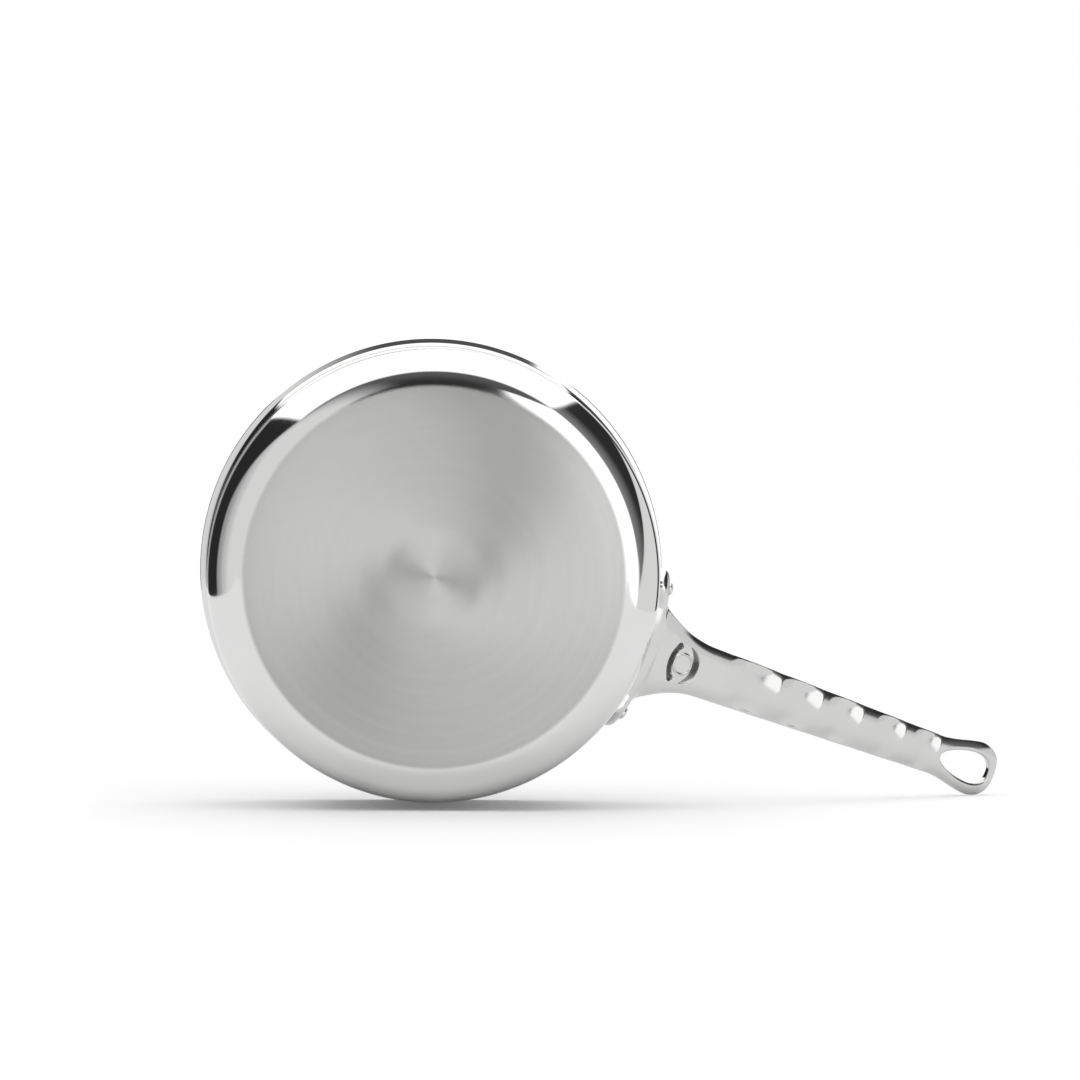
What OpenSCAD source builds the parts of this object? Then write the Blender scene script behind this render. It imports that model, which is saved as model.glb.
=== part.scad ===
// Clad stainless saucepan with a cast handle, standing upright.
// Millimetres. The origin is the centre of the base's underside, +Z is up,
// and the handle points along +X.

/* [Pan] */
// Inside diameter between the straight walls
pan_inner_d = 198; // [170:1:250]
// Height from the table to the top of the rim
pan_h = 112; // [90:1:150]
// Outside radius of the bend between base and wall
corner_r = 15.4; // [10:0.2:25]

/* [Clad sheet] */
// Thickness of the outer steel skin
outer_skin_t = 0.5; // [0.4:0.1:1]
// Thickness of the aluminium core
core_t = 1.6; // [1:0.1:2.5]
// Thickness of the inner steel skin
inner_skin_t = 0.5; // [0.4:0.1:1]

/* [Pouring lip] */
// Radius of the lip's bend, on the outside of the wall
lip_bend_r = 5.8; // [4:0.1:9]
// Angle that the wall is turned outwards
lip_bend_angle = 58; // [40:1:75]

/* [Handle flange] */
// Thickness of the flange, wall to outer face
flange_t = 6.6; // [4.5:0.1:8]
// Height of the flange's centre below the top of the rim
flange_drop = 27; // [22:0.5:40]
// Radius of the round lugs at the flange's ends
lug_r = 9.6; // [8:0.1:11.5]
// Radius that rounds the flange's outer edges
flange_edge_r = 2.6; // [1:0.1:3.5]

/* [Rivets] */
// Straight distance between the rivets, at the flange's outer face
rivet_spacing = 60.4; // [54:0.2:70]
// Diameter of a rivet's shank
rivet_d = 6; // [4:0.1:7]
// Diameter of the low dome inside the pan
rivet_head_d = 13; // [10:0.5:15]
// Height of the low dome inside the pan
rivet_head_h = 2.4; // [1.5:0.1:4]
// Height of the button that stands out of the flange
rivet_button_h = 2.3; // [1.5:0.1:3]
// Radius that rounds the button's edge
rivet_button_edge_r = 1.1; // [0.5:0.1:1.4]
// Gap round the shank in its holes
rivet_fit = 0.1; // [0.05:0.05:0.3]

/* [Handle] */
// Length along the centre line, from the wall to the tip
handle_len = 200; // [180:1:240]
// Angle that the handle rises from the horizontal
handle_rise = 28; // [15:1:40]
// Radius of the centre line's upward bend at the root
root_bend_r = 24; // [18:1:32]
// Width of the bar's straight taper, produced back to the wall
bar_root_w = 26.1; // [22:0.1:30]
// Width of the bar's straight taper, produced on to the tip
bar_end_w = 17.1; // [15:0.1:20]
// Thickness of the bar beyond the neck
bar_root_t = 8.8; // [7:0.1:11]
// Thickness of the bar at the hanging eye
bar_end_t = 6; // [5:0.1:8]
// How far each side of the neck spreads where it meets the wall
neck_spread = 12.2; // [8:0.1:14]
// Length over which the neck spreads
neck_len = 33.4; // [28:0.2:40]
// Height of the neck at the wall
neck_root_t = 18.6; // [14:0.1:19]
// Length over which the neck thins to the bar
neck_thin_len = 15; // [12:0.5:18]

/* [Finger dents] */
// Length of the first and longest dent
dent_len = 21.5; // [16:0.5:24]
// Place of the first dent along the centre line
dent_first_at = 63.5; // [56:0.5:70]
// Distance from the first dent to the last
dent_run = 97; // [85:0.5:100]
// Radius of the dents across the handle
dent_cross_r = 55; // [40:1:90]

/* [Hanging eye] */
// Width of the handle at the eye
eye_end_w = 25.2; // [22:0.1:30]
// Length of the eye's opening
eye_len = 27.6; // [22:0.2:32]
// Width of the eye's opening, before its egg shape is added
eye_w = 13.6; // [10:0.1:15]
// Metal left between the eye and the tip
eye_wall = 4.2; // [3.5:0.1:6]
// Radius that rounds the edges of the eye
eye_edge_r = 1.6; // [0.8:0.1:2]

/* [Medallion and slots] */
// Place of the medallion along the centre line
medal_at = 19.6; // [18:0.1:22]
// Radius of the medallion's raised border
medal_r = 5.1; // [4:0.1:5.3]
// Width of the raised border
medal_border_w = 0.8; // [0.5:0.1:1.5]
// How far the border stands out
medal_border_h = 0.4; // [0.2:0.1:0.8]
// Width of the curved slot between medallion and flange
slot_w = 2.4; // [1.8:0.1:2.8]
// Radius of that slot's middle line
slot_bend_r = 12.6; // [11:0.1:15]
// Distance of that slot's middle from the medallion's centre
slot_offset = 6.4; // [6.3:0.1:6.8]
// Half the angle that the slot spans
slot_half_angle = 37; // [25:1:42]
// Outer radius of the crescent beyond the medallion
crescent_r = 8.8; // [8.4:0.1:9.6]
// Widest part of the crescent
crescent_w = 3.3; // [2:0.1:3.6]
// Inner radius of the crescent
crescent_inner_r = 12.2; // [10:0.1:15]

/* [Hidden] */

// How far cutting shapes run past what they cut
overrun = 1;

// The sheet and the pan's radii
sheet_t = outer_skin_t + core_t + inner_skin_t;
inner_r = pan_inner_d / 2;
outer_r = inner_r + sheet_t;
lip_edge_share = 0.7;
lip_edge_r = sheet_t * lip_edge_share;
lip_mid_r = lip_bend_r + sheet_t / 2;
lip_edge_mid = [-lip_mid_r * cos(lip_bend_angle), lip_mid_r * sin(lip_bend_angle)];
lip_start_z = pan_h - lip_edge_mid[1] - lip_edge_r;

// The flange and its rivets
flange_r = outer_r + flange_t;
flange_z = pan_h - flange_drop;
band_half_h_share = 0.87;
edge_crown = 0.4;
rivet_angle = asin(rivet_spacing / 2 / flange_r);
head_dome_r = (pow(rivet_head_d / 2, 2) + pow(rivet_head_h, 2)) / (2 * rivet_head_h);

// The handle's centre line: a bend at the root, then straight
bend_len = root_bend_r * handle_rise * PI / 180;
bend_end = [outer_r + root_bend_r * sin(handle_rise), flange_z + root_bend_r * (1 - cos(handle_rise))];

// Shares that shape the handle
section_power = 2.5;
tip_power = 2.8;
tip_start_share = 0.92;
bulge_start_share = 0.82;
bulge_end_share = 0.95;
tip_last_share = 0.995;
dent_place_shares = [0, 0.265, 0.52, 0.785, 1];
dent_len_shares = [1, 0.8, 0.66, 0.54, 0.5];
dent_depth_share = 0.175;
scoop_turn_share = 1.3;
eye_side_power = 0.85;
eye_egg_share = 0.3;
eye_face_share = 0.92;
slot_end_share = 1.25;

// Numbers of steps: round shapes, handle sections and stations
$fn = 96;
ring_steps = 36;
neck_steps = 12;
bar_steps = 5;
bulge_steps = 7;
tip_steps = 9;
eye_steps = 40;
edge_steps = 3;

function clamp(q) = min(1, max(0, q));
function blend(a, b, q) = a + (b - a) * q;
function ease(q) = q * q * (3 - 2 * q);
function spow(q, p) = sign(q) * pow(abs(q), p);

// All that lies inside the surface at depth inset below the pan's outer face:
// base, bend, straight wall and flare, as a half section
module pan_fill(inset) {
    translate([0, inset])
        square([outer_r - corner_r, pan_h - inset]);
    translate([0, corner_r])
        square([outer_r - inset, pan_h - corner_r]);
    translate([outer_r - corner_r, corner_r])
        circle(corner_r - inset);
    difference() {
        translate([0, lip_start_z])
            square([outer_r + lip_bend_r, pan_h - lip_start_z]);
        translate([outer_r + lip_bend_r, lip_start_z])
            circle(lip_bend_r + inset);
    }
}

// What is kept of the sheet: all below the lip, and the angle that the lip's bend
// turns through, with a rounded edge at its end
module lip_trim() {
    reach = 2 * (lip_bend_r + sheet_t);
    translate([0, -overrun])
        square([outer_r + overrun, lip_start_z + overrun]);
    translate([outer_r + lip_bend_r, lip_start_z]) {
        polygon([
            [0, 0],
            [-lip_bend_r, -reach],
            [-reach, -reach],
            [-reach, reach],
            [-reach * cos(lip_bend_angle), reach * sin(lip_bend_angle)]
        ]);
        translate(lip_edge_mid)
            circle(lip_edge_r);
    }
}

// One layer of the clad sheet, from depth a to depth b
module layer_section(a, b) {
    intersection() {
        difference() {
            pan_fill(a);
            pan_fill(b);
        }
        lip_trim();
    }
}

module layer(a, b) {
    difference() {
        rotate_extrude()
            layer_section(a, b);
        rivet_holes(inner_r - overrun, outer_r + overrun);
    }
}

// Places children with +Z along a rivet's axis, out from the pan's centre line
module at_rivet(side) {
    rotate([0, 0, side * rivet_angle])
        translate([0, 0, flange_z])
            rotate([0, 90, 0])
                children();
}

module rivet_holes(from_r, to_r) {
    for (side = [-1, 1])
        at_rivet(side)
            translate([0, 0, from_r])
                cylinder(r = rivet_d / 2 + rivet_fit, h = to_r - from_r);
}

// A round bar along Z, one end rounded: a profile turned about Z
module button(r, h, edge_r) {
    rotate_extrude() {
        square([r - edge_r, h]);
        square([r, h - edge_r]);
        translate([r - edge_r, h - edge_r])
            intersection() {
                circle(edge_r);
                square(edge_r);
            }
    }
}

module rivet(side) {
    intersection() {
        at_rivet(side)
            translate([0, 0, inner_r - rivet_head_h + head_dome_r])
                sphere(head_dome_r);
        translate([0, 0, flange_z - rivet_head_d])
            cylinder(r = inner_r, h = 2 * rivet_head_d);
    }
    at_rivet(side)
        translate([0, 0, inner_r - rivet_head_h / 2])
            button(rivet_d / 2, flange_r + rivet_button_h - inner_r + rivet_head_h / 2, rivet_button_edge_r);
}

// Point and direction of the handle's centre line at distance s from the wall
function line_angle(s) = handle_rise * clamp(s / bend_len);
function line_x(s) = s < bend_len
    ? outer_r + root_bend_r * sin(line_angle(s))
    : bend_end[0] + (s - bend_len) * cos(handle_rise);
function line_z(s) = s < bend_len
    ? flange_z + root_bend_r * (1 - cos(line_angle(s)))
    : bend_end[1] + (s - bend_len) * sin(handle_rise);

// Half width: a straight taper, spread at the neck and swollen at the eye,
// closed at the tip by a squarish ellipse
tip_start = handle_len * tip_start_share;
bulge_start = handle_len * bulge_start_share;
bulge_end = handle_len * bulge_end_share;
eye_bulge = (eye_end_w - bar_end_w) / 2;
function taper_half_w(s) = blend(bar_root_w, bar_end_w, s / handle_len) / 2;
function neck_half_w(s) = neck_spread * pow(clamp(1 - s / neck_len), 2);
function bulge_half_w(s) = eye_bulge * ease(clamp((s - bulge_start) / (bulge_end - bulge_start)));
function closing(s) = pow(1 - pow(clamp((s - tip_start) / (handle_len - tip_start)), tip_power), 1 / tip_power);
function half_w(s) = (taper_half_w(s) + neck_half_w(s) + bulge_half_w(s)) * closing(s);

// Half thickness: a straight taper, thickened at the root, rounded over at the tip
tip_round = bar_end_t / 2;
function taper_half_t(s) = blend(bar_root_t, bar_end_t, clamp(s / bulge_start)) / 2;
function root_half_t(s) = (neck_root_t - bar_root_t) / 2 * pow(clamp(1 - s / neck_thin_len), 2);
function tip_rounding(s) = sqrt(1 - pow(clamp((s - handle_len + tip_round) / tip_round), 2));
function half_t(s) = (taper_half_t(s) + root_half_t(s)) * tip_rounding(s);

// Distances of the handle's sections from the wall, closest at the tip
stations = concat(
    [for (i = [0 : neck_steps - 1]) neck_len * i / neck_steps],
    [for (i = [0 : bar_steps - 1]) blend(neck_len, bulge_start, i / bar_steps)],
    [for (i = [0 : bulge_steps - 1]) blend(bulge_start, tip_start, i / bulge_steps)],
    [for (i = [0 : tip_steps - 1]) blend(tip_start, handle_len, sin(90 * i / tip_steps))],
    [blend(tip_start, handle_len, tip_last_share)]
);

// A section is a squarish ellipse across the centre line
function section_point(s, q) =
    let (across = half_w(s) * spow(cos(q), 2 / section_power))
    let (up = half_t(s) * spow(sin(q), 2 / section_power))
    [line_x(s) - up * sin(line_angle(s)), across, line_z(s) + up * cos(line_angle(s))];

// Triangles that skin a list of rings of n points, with both ends closed.
// The rings turn anticlockwise as seen from the last one.
function ring_faces(rings, n) = concat(
    [for (i = [0 : rings - 2]) for (j = [0 : n - 1])
        [i * n + j, (i + 1) * n + (j + 1) % n, i * n + (j + 1) % n]],
    [for (i = [0 : rings - 2]) for (j = [0 : n - 1])
        [i * n + j, (i + 1) * n + j, (i + 1) * n + (j + 1) % n]],
    [[for (j = [0 : n - 1]) j]],
    [[for (j = [0 : n - 1]) rings * n - 1 - j]]
);

module bar() {
    points = [for (s = stations) for (j = [0 : ring_steps - 1]) section_point(s, 360 * j / ring_steps)];
    polyhedron(points, ring_faces(len(stations), ring_steps));
}

// Places children on the straight part of the centre line: X along it, Z up from it
module at_bar(s) {
    translate([line_x(s), 0, line_z(s)])
        rotate([0, -handle_rise, 0])
            children();
}

// The flange: a band round the wall between two round lugs on the rivets. Both are
// made edge_crown too thick and trimmed, so their round edges meet the face at an angle.
module flange() {
    intersection() {
        union() {
            rotate([0, 0, -rivet_angle])
                rotate_extrude(angle = 2 * rivet_angle)
                    band_profile();
            for (side = [-1, 1])
                at_rivet(side)
                    translate([0, 0, inner_r])
                        button(lug_r, flange_r + edge_crown - inner_r, flange_edge_r);
        }
        translate([0, 0, flange_z - 2 * lug_r])
            cylinder(r = flange_r, h = 4 * lug_r);
    }
}

// Section of the band, a little lower than the lugs, with its two outer edges rounded
module band_profile() {
    half_h = lug_r * band_half_h_share;
    flat = half_h - flange_edge_r;
    depth = flange_t + edge_crown + overrun;
    translate([outer_r - overrun, flange_z - half_h])
        square([depth - flange_edge_r, 2 * half_h]);
    translate([outer_r - overrun, flange_z - flat])
        square([depth, 2 * flat]);
    for (end = [-1, 1])
        translate([outer_r - overrun + depth - flange_edge_r, flange_z + end * flat])
            circle(flange_edge_r);
}

// Dents for the fingers: barrel-shaped scoops across the handle's underside
module dents() {
    for (k = [0 : len(dent_place_shares) - 1]) {
        s = dent_first_at + dent_run * dent_place_shares[k];
        half_len = dent_len * dent_len_shares[k] / 2;
        depth = half_len * dent_depth_share;
        waist_r = (pow(half_len, 2) + pow(depth, 2)) / (2 * depth);
        at_bar(s)
            translate([0, 0, -half_t(s) + depth - waist_r])
                rotate([90, 0, 0])
                    scoop(waist_r, 2 * depth, scoop_turn_share * asin(half_len / waist_r));
    }
}

// A piece of a barrel about Z, turned by an angle to each side of +Y:
// its waist is at radius r, its sides bulge by dent_cross_r, and it is t thick
module scoop(r, t, turn) {
    rotate([0, 0, 90 - turn])
        rotate_extrude(angle = 2 * turn)
            intersection() {
                translate([r - dent_cross_r, 0])
                    circle(dent_cross_r);
                translate([r - t, -dent_cross_r])
                    square([t, 2 * dent_cross_r]);
            }
}

// The eye's opening: an egg shape, spread at both faces to round its edges
eye_mid = handle_len - eye_wall - eye_len / 2;
eye_face = bar_end_t / 2 * eye_face_share;
function egg_point(q, grow) = [
    (eye_len / 2 + grow) * cos(q),
    (eye_w / 2 + grow) * spow(sin(q), eye_side_power) * (1 + eye_egg_share * cos(q))
];
edge_levels = [for (i = [0 : edge_steps]) eye_face - eye_edge_r * (1 - sin(90 * i / edge_steps))];
edge_grows = [for (i = [0 : edge_steps]) eye_edge_r * (1 - cos(90 * i / edge_steps))];

module eye() {
    levels = concat([eye_face + overrun], [for (i = [0 : edge_steps]) edge_levels[edge_steps - i]]);
    grows = concat([eye_edge_r], [for (i = [0 : edge_steps]) edge_grows[edge_steps - i]]);
    count = len(levels);
    up = [for (i = [0 : count - 1]) [-levels[i], grows[i]]];
    down = [for (i = [0 : count - 1]) [levels[count - 1 - i], grows[count - 1 - i]]];
    rows = concat(up, down);
    points = [for (row = rows) for (j = [0 : eye_steps - 1])
        concat(egg_point(360 * j / eye_steps, row[1]), [row[0]])];
    at_bar(eye_mid)
        polyhedron(points, ring_faces(len(rows), eye_steps));
}

// The slot between medallion and flange: an arc with round, slightly wider ends
module slot_outline() {
    centre = slot_bend_r - slot_offset;
    translate([centre, 0]) {
        intersection() {
            difference() {
                circle(slot_bend_r + slot_w / 2);
                circle(slot_bend_r - slot_w / 2);
            }
            polygon([
                [0, 0],
                [-2 * slot_bend_r * cos(slot_half_angle), 2 * slot_bend_r * sin(slot_half_angle)],
                [-2 * slot_bend_r * cos(slot_half_angle), -2 * slot_bend_r * sin(slot_half_angle)]
            ]);
        }
        for (end = [-1, 1])
            rotate(180 + end * slot_half_angle)
                translate([slot_bend_r, 0])
                    circle(slot_w / 2 * slot_end_share);
    }
}

// The pointed crescent beyond the medallion
module crescent_outline() {
    difference() {
        circle(crescent_r);
        translate([crescent_r - crescent_w - crescent_inner_r, 0])
            circle(crescent_inner_r);
    }
}

// Medallion left standing between the slots, with a raised plain border
module medal_border() {
    at_bar(medal_at)
        translate([0, 0, -half_t(medal_at) - medal_border_h])
            difference() {
                cylinder(r = medal_r, h = bar_root_t / 2);
                translate([0, 0, -overrun])
                    cylinder(r = medal_r - medal_border_w, h = medal_border_h + overrun);
            }
}

module outer_steel_skin() {
    color("gainsboro")
        layer(0, outer_skin_t);
}

module aluminium_core() {
    color("lightsteelblue")
        layer(outer_skin_t, outer_skin_t + core_t);
}

module inner_steel_skin() {
    color("lightgray")
        layer(outer_skin_t + core_t, sheet_t);
}

module handle() {
    color("silver")
        difference() {
            union() {
                bar();
                flange();
                medal_border();
            }
            translate([0, 0, flange_z - 2 * lug_r])
                cylinder(r = outer_r, h = 4 * lug_r);
            rivet_holes(outer_r - overrun, flange_r + overrun);
            dents();
            eye();
            at_bar(medal_at)
                translate([0, 0, -bar_root_t])
                    linear_extrude(2 * bar_root_t) {
                        slot_outline();
                        crescent_outline();
                    }
        }
}

module left_rivet() {
    color("whitesmoke")
        rivet(1);
}

module right_rivet() {
    color("whitesmoke")
        rivet(-1);
}

outer_steel_skin();
aluminium_core();
inner_steel_skin();
handle();
left_rivet();
right_rivet();
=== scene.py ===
import math
import bmesh
import bpy
import numpy as np
from mathutils import Matrix, Vector


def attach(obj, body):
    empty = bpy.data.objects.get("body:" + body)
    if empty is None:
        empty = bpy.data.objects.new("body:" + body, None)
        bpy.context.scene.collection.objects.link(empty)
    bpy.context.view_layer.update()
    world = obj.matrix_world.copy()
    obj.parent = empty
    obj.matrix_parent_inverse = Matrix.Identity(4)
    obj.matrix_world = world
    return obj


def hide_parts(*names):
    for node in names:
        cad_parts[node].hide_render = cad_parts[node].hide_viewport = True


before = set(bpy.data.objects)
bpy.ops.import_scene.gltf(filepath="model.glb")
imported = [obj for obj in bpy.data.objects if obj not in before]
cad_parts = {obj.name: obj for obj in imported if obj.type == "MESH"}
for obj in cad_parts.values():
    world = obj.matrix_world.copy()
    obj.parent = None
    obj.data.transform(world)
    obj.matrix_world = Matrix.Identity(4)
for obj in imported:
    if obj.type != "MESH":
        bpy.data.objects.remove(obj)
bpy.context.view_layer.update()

mm = 0.001
scene = bpy.context.scene

# sizes in millimetres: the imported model's, but for the lip, which has a smaller bend and a
# short flat whose end has two round corners
pan = {
    "innerRadius": 99.0, "height": 112.0, "bendRadius": 15.4,
    "outerSheet": 0.5, "coreSheet": 1.6, "innerSheet": 0.5,
    "lipBend": 2.4, "lipTurn": math.radians(76), "lipFlat": 2.05, "lipRound": 0.55,
    "discLean": math.radians(2.1), "discLeanPower": 8, "discLeanFade": math.radians(11),
    "steps": {"base": 24, "bend": 40, "wall": 24, "lip": 24, "flat": 6, "end": 13},
    "turns": 360,
}
sheet = pan["outerSheet"] + pan["coreSheet"] + pan["innerSheet"]
outerRadius = pan["innerRadius"] + sheet
flatRadius = outerRadius - pan["bendRadius"]
lipAlong = np.array([math.sin(pan["lipTurn"]), math.cos(pan["lipTurn"])])
lipInward = np.array([-math.cos(pan["lipTurn"]), math.sin(pan["lipTurn"])])
lipR = outerRadius + pan["lipBend"]
# the flat's upper corner just reaches the pan's height
lipCorner = ((pan["lipBend"] + sheet - pan["lipRound"]) * lipInward
             + (pan["lipFlat"] - pan["lipRound"]) * lipAlong)
lipZ = pan["height"] - pan["lipRound"] - lipCorner[1]


class Wire:
    # one output socket; sums written on it add Math nodes to its tree
    def __init__(self, board, socket):
        self.board = board
        self.socket = socket

    def maths(self, operation, *values):
        return self.board.node("ShaderNodeMath", {"operation": operation}, dict(enumerate(values)))

    def __add__(self, other):
        return self.maths("ADD", self, other)

    def __sub__(self, other):
        return self.maths("SUBTRACT", self, other)

    def __rsub__(self, other):
        return self.maths("SUBTRACT", other, self)

    def __mul__(self, other):
        return self.maths("MULTIPLY", self, other)

    def __truediv__(self, other):
        return self.maths("DIVIDE", self, other)

    def __pow__(self, other):
        return self.maths("POWER", self, other)

    __radd__ = __add__
    __rmul__ = __mul__

    def larger(self, other):
        return self.maths("MAXIMUM", self, other)

    # 0 below low, 1 above high, smooth between them
    def rise(self, low, high, bottom=0.0, top=1.0):
        return self.board.node("ShaderNodeMapRange", {"interpolation_type": "SMOOTHSTEP"},
                               {0: self, 1: low, 2: high, 3: bottom, 4: top})

    # 1 past an edge, 0 before it, soft on both sides of it
    def past(self, edge, soft):
        return (self - edge).rise(-soft, soft)

    def before(self, edge, soft):
        return 1 - self.past(edge, soft)

    # 1 between the two values, with soft ends
    def between(self, low, high, soft):
        return self.past(low, soft) * self.before(high, soft)

    # this value where the mask is 0, the other where it is 1
    def covered(self, mask, other):
        return self + mask * (other - self)

    # the three numbers of a position
    def parts(self):
        return [self.board.node("ShaderNodeSeparateXYZ", None, {0: self}, out=axis)
                for axis in range(3)]


class Board:
    # a node tree, empty at first
    def __init__(self, tree):
        self.tree = tree
        tree.nodes.clear()

    def node(self, kind, settings=None, values=None, out=0):
        made = self.tree.nodes.new(kind)
        for key, value in (settings or {}).items():
            setattr(made, key, value)
        for key, value in (values or {}).items():
            if isinstance(value, Wire):
                self.tree.links.new(value.socket, made.inputs[key])
            else:
                made.inputs[key].default_value = value
        return Wire(self, made.outputs[out])

    # a point in an object's own coordinates, in metres
    def place(self):
        return self.node("ShaderNodeTexCoord", out="Object")

    # the tree's output node, showing a shader
    def finish(self, shader, kind="ShaderNodeOutputMaterial"):
        output = self.tree.nodes.new(kind)
        self.tree.links.new(shader.socket, output.inputs[0])


# a material whose shader is made by a function from its values
def makeMaterial(name, shading, *values):
    material = bpy.data.materials.new(name)
    material.use_nodes = True
    board = Board(material.node_tree)
    board.finish(shading(board, *values))
    return material


# noise through space, or along one number
def noise(place, scale, detail, along="3D"):
    socket = "W" if along == "1D" else "Vector"
    return place.board.node("ShaderNodeTexNoise", {"noise_dimensions": along},
                            {socket: place, "Scale": scale, "Detail": detail})


# a colour that runs, with a share, to so much of itself
def darkened(share, colour, dark):
    darkest = [part * dark for part in colour[:3]] + [1.0]
    return share.board.node("ShaderNodeMix", {"data_type": "RGBA"},
                            {0: share, 6: colour, 7: darkest}, out=2)


def bumped(height, strength, depth):
    return height.board.node("ShaderNodeBump", None,
                             {"Strength": strength, "Distance": depth, "Height": height})


# one shader where the share is 0, another where it is 1
def blended(share, first, second):
    return first.board.node("ShaderNodeMixShader", None, {0: share, 1: first, 2: second})


# distance of a point from the Z axis
def offAxis(place):
    x, y, z = place.parts()
    return (x * x + y * y) ** 0.5


# a noise's values mostly lie in this span
noiseSpan = (0.2, 0.8)


# a metal's inputs, its roughness running between two shares of a value with a grain
def metal(tint, grain, roughness, shares, bump):
    rough = grain.rise(*noiseSpan, *[roughness * share for share in shares])
    return {"Base Color": tint, "Metallic": 1.0, "Roughness": rough, "Normal": bump}


# each noise has a scale and a detail; depths are in metres
polish = {"slow": (45.0, 2.0), "fine": (900.0, 3.0), "fineShare": 0.02,
          "dark": 0.985, "rough": (1, 1.5), "depth": 0.0004}


# mirror-polished sheet: clear reflections, a faint waviness from drawing and buffing
def polished(board, colour, roughness, wave):
    place = board.place()
    slow, fine = noise(place, *polish["slow"]), noise(place, *polish["fine"])
    bump = bumped(slow + fine * polish["fineShare"], wave, polish["depth"])
    tint = darkened(slow, colour, polish["dark"])
    inputs = metal(tint, fine, roughness, polish["rough"], bump)
    return board.node("ShaderNodeBsdfPrincipled", None, inputs)


brush = {"rings": (2600.0, 3.0), "broad": (160.0, 2.0), "patches": (420.0, 4.0),
         "tints": (0.4, 0.3, 0.3), "grains": (0.5, 0.5),
         "dark": 0.84, "rough": (0.9, 1.15), "bump": 0.08, "depth": 0.0001, "acrossRings": 0.25}


# brushed in circles round Z: the light is drawn out across the rings, along a line that
# is twisted away from the radius by so many degrees at each of the given radii
def brushed(board, colour, roughness, stretch, twists=((0.0, 0.0),)):
    place = board.place()
    radius = offAxis(place)
    rings, broad = [noise(radius, *brush[name], along="1D") for name in ("rings", "broad")]
    patches = noise(place, *brush["patches"])
    tint = sum(wire * share for wire, share in zip((rings, broad, patches), brush["tints"]))
    grain = sum(wire * share for wire, share in zip((rings, broad), brush["grains"]))
    bump = bumped(rings, brush["bump"], brush["depth"])
    inputs = metal(darkened(tint, colour, brush["dark"]), grain, roughness, brush["rough"], bump)
    shader, before = None, 0.0
    for at, twist in twists:
        ring = board.node("ShaderNodeBsdfPrincipled", None, {
            **inputs, "Anisotropic": stretch,
            "Anisotropic Rotation": brush["acrossRings"] + twist / 360})
        shader = blended(radius.rise(before, at * mm), shader, ring) if shader else ring
        before = at * mm
    return shader


# the base's brushed disc, which runs softly into the polished bend at its edge
def baseAndWall(board, disc, wall, edge):
    share = offAxis(board.place()).rise(edge[0] * mm, edge[1] * mm)
    return blended(share, brushed(board, *disc), polished(board, *wall))


casting = {"grain": (1400.0, 4.0), "cloud": (70.0, 3.0), "cloudShare": 0.6,
           "dark": 0.95, "rough": (0.9, 1.15), "bump": 0.12, "depth": 0.0001}


# cast and tumbled steel: soft reflections and a fine grain
def cast(board, colour, roughness):
    place = board.place()
    grain, cloud = noise(place, *casting["grain"]), noise(place, *casting["cloud"])
    bump = bumped(grain + cloud * casting["cloudShare"], casting["bump"], casting["depth"])
    tint = darkened(cloud, colour, casting["dark"])
    inputs = metal(tint, grain, roughness, casting["rough"], bump)
    return board.node("ShaderNodeBsdfPrincipled", None, inputs)


# the handle: polished at the neck, satin along the grip, and rough as cast inside the slots, where
# a dark colour is painted shade;
# the slots lie round an axis through a centre and below the lower face
def castGrip(board, neck, grip, recess):
    x, y, z = board.place().parts()
    bar = blended(x.rise(*recess["gripSpan"]), cast(board, *neck), cast(board, *grip))
    away = [axis - float(middle) for axis, middle in zip((x, y, z), recess["centre"])]
    depth = sum(-float(way) * part for way, part in zip(recess["axis"], away))
    off = (sum(part * part for part in away) - depth * depth).larger(0.0) ** 0.5
    # painted shade: inside the slots the colour is darkened, besides the rougher cast finish
    inside = off.before(recess["reach"], recess["soft"])
    inside = inside * depth.between(*recess["depths"], recess["soft"])
    return blended(inside, bar, cast(board, *recess["asCast"]))


# a matte floor that the camera sees a little brighter, see-through from its back
def matteFloor(board, colour, glow):
    rays = board.node("ShaderNodeLightPath", out="Is Camera Ray")
    matte = board.node("ShaderNodeBsdfDiffuse", None, {0: colour})
    shine = board.node("ShaderNodeEmission", None, {0: (1, 1, 1, 1), 1: rays * glow})
    both = board.node("ShaderNodeAddShader", None, {0: matte, 1: shine})
    clear = board.node("ShaderNodeBsdfTransparent")
    return blended(board.node("ShaderNodeNewGeometry", out="Backfacing"), both, clear)


# colours and roughness; on the disc, the brushing's twist in degrees at radii in millimetres
finishes = {
    "disc": ((0.585, 0.585, 0.572, 1.0), 0.21, 0.82,
             ((18, 105), (26, 72), (40, 50), (60, 39), (80, 32))),
    "wall": ((0.80, 0.80, 0.795, 1.0), 0.045, 0.03),
    "discEdge": (84.6, 86.6),
    "inside": ((0.72, 0.72, 0.71, 1.0), 0.24, 0.6),
    "core": ((0.80, 0.80, 0.80, 1.0), 0.35, 0.3),
    "rivet": ((0.78, 0.78, 0.775, 1.0), 0.12),
    "neck": ((0.72, 0.72, 0.715, 1.0), 0.12),
    "grip": ((0.70, 0.70, 0.695, 1.0), 0.14),
    # inside the slots: rough as cast, and a dark colour that is painted shade
    "slots": ((0.3, 0.3, 0.295, 1.0), 0.45),
    "floor": ((0.94, 0.94, 0.94, 1.0), 0.12),
}
outerSteel = makeMaterial("outerSteel", baseAndWall,
                          finishes["disc"], finishes["wall"], finishes["discEdge"])
insideSteel = makeMaterial("insideBrushedSteel", brushed, *finishes["inside"])
coreAluminium = makeMaterial("cutAluminium", brushed, *finishes["core"])
rivetSteel = makeMaterial("rivetSteel", cast, *finishes["rivet"])
print("materials made")


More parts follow.
